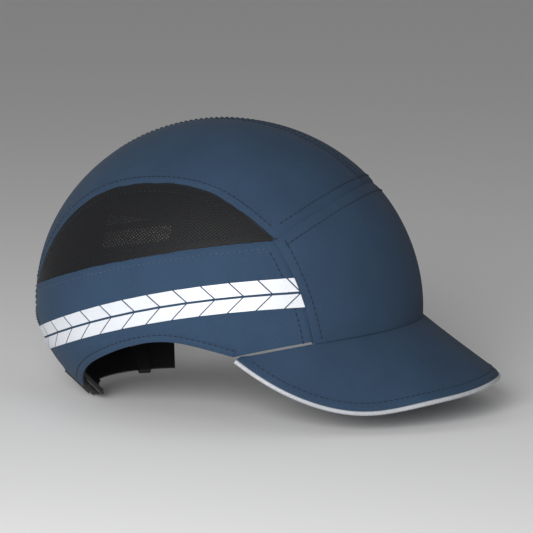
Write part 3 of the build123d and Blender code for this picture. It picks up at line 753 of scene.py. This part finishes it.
for pad_name in ("crown_pad", "brow_pad", "nape_pad"):
    pad = nodes[pad_name].copy()
    pad.data = nodes[pad_name].data.copy()
    pad.name = f"{pad_name}_foam"
    bpy.context.scene.collection.objects.link(pad)
    bpy.ops.object.select_all(action="DESELECT")
    pad.select_set(True)
    bpy.context.view_layer.objects.active = pad
    bpy.ops.object.mode_set(mode="EDIT")
    bpy.ops.mesh.select_all(action="SELECT")
    bpy.ops.mesh.remove_doubles(threshold=0.00002)
    bpy.ops.object.mode_set(mode="OBJECT")
    cells_of_pad = pad.modifiers.new("pressed foam", "REMESH")
    cells_of_pad.mode = "VOXEL"
    cells_of_pad.voxel_size = 0.0012
    bpy.ops.object.modifier_apply(modifier=cells_of_pad.name)
    press = pad.modifiers.new("rounded edge", "SMOOTH")
    press.factor = 0.6
    press.iterations = 8
    bpy.ops.object.modifier_apply(modifier=press.name)
    bpy.ops.object.shade_smooth()
    dress(pad, foam, hides=[pad_name])
bpy.ops.object.select_all(action="DESELECT")


# ---------------------------------------------------------------------------------------------
# Seam tape and label. Black tape covers the centre seam inside the crown, and a blank satin
# label is stuck inside the shell behind the right windows, where it shows pale through the mesh.

tape_run = on_crown(centre_line, -0.0010)
tape_right = on_crown(tape_run + (-0.006, 0, 0), -0.0010)
seam_tape = cut_panel("seam_tape", tape_right, other_side(tape_right), evenly([tape_right[0], other_side(tape_right)[0]], 9),
                      evenly([tape_right[-1], other_side(tape_right)[-1]], 9), lift=-0.0011, thickness=0.0005, ripple=0.0,
                      sink=0.0, edges=(0, 0, 0, 0))
dress(seam_tape, black_cloth, hides=["centre_seam_tape"])
low_corner, high_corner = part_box("label")
bpy.ops.object.select_all(action="DESELECT")
bpy.ops.mesh.primitive_grid_add(x_subdivisions=34, y_subdivisions=16, size=1, calc_uvs=True)
label = bpy.context.object
label.name = label.data.name = "blank_label"
flat = np.array([v.co for v in label.data.vertices])
label_y = (low_corner.y + high_corner.y) / 2 + flat[:, 0] * (high_corner.y - low_corner.y)
label_z = (low_corner.z + high_corner.z) / 2 + flat[:, 1] * (high_corner.z - low_corner.z)
label_inset = 0.0038
round_share = 1 - (label_y / (0.108 - label_inset)) ** 2 - (label_z / (0.101 - label_inset)) ** 2
label_x = -(0.088 - label_inset) * np.sqrt(round_share)
label.data.vertices.foreach_set("co", np.stack([label_x, label_y, label_z], axis=1).ravel())
label.data.update()
if label.data.polygons[0].normal.x > 0:
    label.data.flip_normals()
for corner in label.data.uv_layers[0].data:
    corner.uv = (corner.uv[0] * 0.040, corner.uv[1] * 0.020)
note_cut(label, 16, 34)
wall = label.modifiers.new("ribbon thickness", "SOLIDIFY")
wall.thickness = 0.0003
wall.offset = -1
bpy.ops.object.modifier_apply(modifier=wall.name)
bpy.ops.object.shade_smooth_by_angle(angle=math.radians(50))
dress(label, woven("label satin", (0.78, 0.78, 0.75), roughness=0.5, sheen=0.1, mottle=0.04), hides=["label"])


# ---------------------------------------------------------------------------------------------
# Nape strap and slip buckle. A toothed black strap, its keeper in the left tail, and the buckle
# frame, lever and steel pin on the right, all moulded in black nylon but the pin.

strap_black = moulded("strap nylon", (0.013, 0.013, 0.014), roughness=0.42, grain=500)
buckle_black = moulded("buckle nylon", (0.017, 0.017, 0.018), roughness=0.34, grain=900, depth=0.08)
finish_node("nape_strap", strap_black)
finish_node("strap_keeper", buckle_black)
finish_node("buckle_frame", buckle_black)
finish_node("buckle_lever", buckle_black)
drawn_steel = bpy.data.materials.new("drawn steel")
drawn_steel.use_nodes = True
drawn = drawn_steel.node_tree
drawn.nodes["Principled BSDF"].inputs["Metallic"].default_value = 1
drawn.nodes["Principled BSDF"].inputs["Base Color"].default_value = (0.55, 0.55, 0.57, 1)
draw_marks = drawn.nodes.new("ShaderNodeTexNoise")
draw_marks.inputs["Scale"].default_value = 1500
draw_range = drawn.nodes.new("ShaderNodeMapRange")
draw_range.inputs["To Min"].default_value = 0.25
draw_range.inputs["To Max"].default_value = 0.45
drawn.links.new(draw_marks.outputs["Fac"], draw_range.inputs["Value"])
drawn.links.new(draw_range.outputs["Result"], drawn.nodes["Principled BSDF"].inputs["Roughness"])
finish_node("buckle_pin", drawn_steel)


# ---------------------------------------------------------------------------------------------
# Topstitching. Lockstitch in navy thread, three millimetres to the stitch, along every seam,
# hem and edge, and in a paler thread under the mesh. The navy thread is darker than the cloth,
# partly its own dye and partly painted shade standing in for the dark stitch grooves.

bpy.ops.object.select_all(action="DESELECT")
bpy.ops.mesh.primitive_uv_sphere_add(segments=6, ring_count=4, radius=1)
one_stitch = bpy.context.object
stitch_shape = np.array([v.co for v in one_stitch.data.vertices])
stitch_faces = [tuple(face.vertices) for face in one_stitch.data.polygons]
bpy.data.objects.remove(one_stitch)


def stitch_row(name, line, thread, normals=None, pitch=0.0030, length=0.0022, thick=0.00024, proud=0.00008):
    """A row of stitches along a line, each lying on the cloth with its ends pulled in."""
    count = max(int(length_of(line) / pitch), 2)
    spots = evenly(line, count * 2 + 1)
    middles = spots[1::2]
    ahead = spots[2::2] - spots[:-1:2]
    ahead /= np.linalg.norm(ahead, axis=1)[:, None]
    if normals is None:
        out = crown_normal(middles)
    else:
        out = np.stack([np.interp(np.linspace(0, 1, count), np.linspace(0, 1, len(normals)), normals[:, i]) for i in range(3)], axis=1)
    out -= (out * ahead).sum(axis=1)[:, None] * ahead
    out /= np.linalg.norm(out, axis=1)[:, None]
    aside = np.cross(out, ahead)
    shapes = (middles[:, None] + stitch_shape[None, :, :1] * ahead[:, None] * length / 2
              + stitch_shape[None, :, 1:2] * aside[:, None] * thick * 1.25
              + (stitch_shape[None, :, 2:] * thick + proud - thick * 0.5 * stitch_shape[None, :, :1] ** 2) * out[:, None])
    total = len(stitch_shape)
    faces = [tuple(i + total * k for i in face) for k in range(count) for face in stitch_faces]
    mesh = bpy.data.meshes.new(name)
    mesh.from_pydata(shapes.reshape(-1, 3).tolist(), [], faces)
    mesh.update()
    row_of = bpy.data.objects.new(name, mesh)
    bpy.context.scene.collection.objects.link(row_of)
    for face in mesh.polygons:
        face.use_smooth = True
    dress(row_of, thread)
    return row_of


# The navy thread's colour is darker than the cloth: partly the thread's own dye, partly painted shade of the stitch
# grooves.
navy_thread_groove_shade = woven("navy thread", (0.012, 0.020, 0.034), coordinates="Object", thread=0.0003, roughness=0.6, sheen=0.03)
pale_thread = woven("pale thread", (0.07, 0.11, 0.17), coordinates="Object", thread=0.0003, roughness=0.6, sheen=0.03)
for side, turn, way in (("right", lambda p: p, 1), ("left", other_side, -1)):
    stitch_row(f"stitch_front_top_above_{side}", beside(turn(top_seam_right), -0.0055 * way)[2:], navy_thread_groove_shade)
    stitch_row(f"stitch_front_top_below_{side}", beside(turn(top_seam_right), 0.0055 * way)[6:], navy_thread_groove_shade)
    stitch_row(f"stitch_front_side_behind_{side}", beside(turn(front_side_seam), -0.0045 * way)[2:-4], navy_thread_groove_shade)
    stitch_row(f"stitch_front_side_ahead_{side}", beside(turn(front_side_seam), 0.0055 * way)[2:-8], navy_thread_groove_shade)
    stitch_row(f"stitch_crown_over_mesh_{side}", beside(turn(mesh_head), -0.0045 * way)[4:], navy_thread_groove_shade)
    stitch_row(f"stitch_mesh_head_{side}", beside(turn(mesh_head), 0.0045 * way, -0.0006)[10:-10], navy_thread_groove_shade)
    stitch_row(f"stitch_mesh_sill_{side}", beside(turn(mesh_sill), -0.0045 * way, -0.0006)[10:-10], navy_thread_groove_shade)
    stitch_row(f"stitch_band_top_{side}", beside(turn(mesh_sill), 0.0042 * way)[3:], pale_thread)
    stitch_row(f"stitch_ear_hem_{side}", beside(turn(ear_line), -0.0036 * way, 0.00055), navy_thread_groove_shade)
    stitch_row(f"stitch_rear_seam_{side}", beside(turn(rear_edge[16:]), 0.0100 * way), navy_thread_groove_shade)
    stitch_row(f"stitch_centre_seam_{side}", beside(turn(centre_line[:-6]), -0.0033 * way), navy_thread_groove_shade)
stitch_row("stitch_rear_hem", beside(rear_arch, -0.0036, 0.00055), navy_thread_groove_shade)
away_in = peak_edge_line - 0.0045 * away
peak_side = np.cross(away, np.gradient(peak_edge_line, axis=0))
peak_side /= np.linalg.norm(peak_side, axis=1)[:, None]
peak_side *= np.sign(peak_side[:, 2:3])
stitch_row("stitch_peak_top", (away_in + 0.00175 * peak_side)[6:-6], navy_thread_groove_shade, normals=peak_side[6:-6])
stitch_row("stitch_peak_under", (away_in - 0.00175 * peak_side)[6:-6], navy_thread_groove_shade, normals=-peak_side[6:-6])


# ---------------------------------------------------------------------------------------------
# Studio. A pale floor that the cap stands on, a large soft key light at its right side, a weak
# fill from behind, and a long lens at the cap's right, a little ahead and above.

bpy.ops.object.select_all(action="DESELECT")
bpy.ops.mesh.primitive_plane_add(size=12, location=(0, 0, cad_box[0].z - 0.0005))
floor = bpy.context.object
floor.name = "studio_floor"
paper = bpy.data.materials.new("pale paper")
paper.use_nodes = True
paper.node_tree.nodes["Principled BSDF"].inputs["Base Color"].default_value = (0.86, 0.86, 0.86, 1)
paper.node_tree.nodes["Principled BSDF"].inputs["Roughness"].default_value = 0.9
floor.data.materials.append(paper)
world = bpy.data.worlds.new("studio")
bpy.context.scene.world = world
world.use_nodes = True
room = world.node_tree
room.nodes["Background"].inputs["Color"].default_value = (1.0, 1.0, 1.0, 1)
ray = room.nodes.new("ShaderNodeLightPath")
glow = room.nodes.new("ShaderNodeMapRange")
glow.inputs["To Min"].default_value = 0.24
glow.inputs["To Max"].default_value = 1.0
room.links.new(ray.outputs["Is Camera Ray"], glow.inputs["Value"])
room.links.new(glow.outputs["Result"], room.nodes["Background"].inputs["Strength"])


def soft_light(name, place, size, power, aim=(0, 0, 0.02)):
    lamp = bpy.data.lights.new(name, "AREA")
    lamp.shape = "DISK"
    lamp.size = size
    lamp.energy = power
    holder = bpy.data.objects.new(name, lamp)
    bpy.context.scene.collection.objects.link(holder)
    holder.location = place
    holder.rotation_euler = (Vector(aim) - Vector(place)).to_track_quat("-Z", "Y").to_euler()
    return holder


soft_light("key", (-1.3, -0.15, 0.40), 0.8, 21)
soft_light("fill", (-0.9, 0.9, 0.9), 0.8, 1.5)
camera_data = bpy.data.cameras.new("camera")
camera = bpy.data.objects.new("camera", camera_data)
bpy.context.scene.collection.objects.link(camera)
bpy.context.scene.camera = camera
ahead_angle, down_angle = math.radians(20), math.radians(9)
view = Vector((math.cos(ahead_angle) * math.cos(down_angle), math.sin(ahead_angle) * math.cos(down_angle), -math.sin(down_angle)))
aim = Vector((0, -0.0223, 0.0209))
camera.location = aim - 1.3 * view
camera.rotation_euler = view.to_track_quat("-Z", "Y").to_euler()
camera_data.sensor_width = 36
camera_data.lens = 162
camera_data.clip_end = 30
bpy.context.scene.view_settings.view_transform = "Standard"
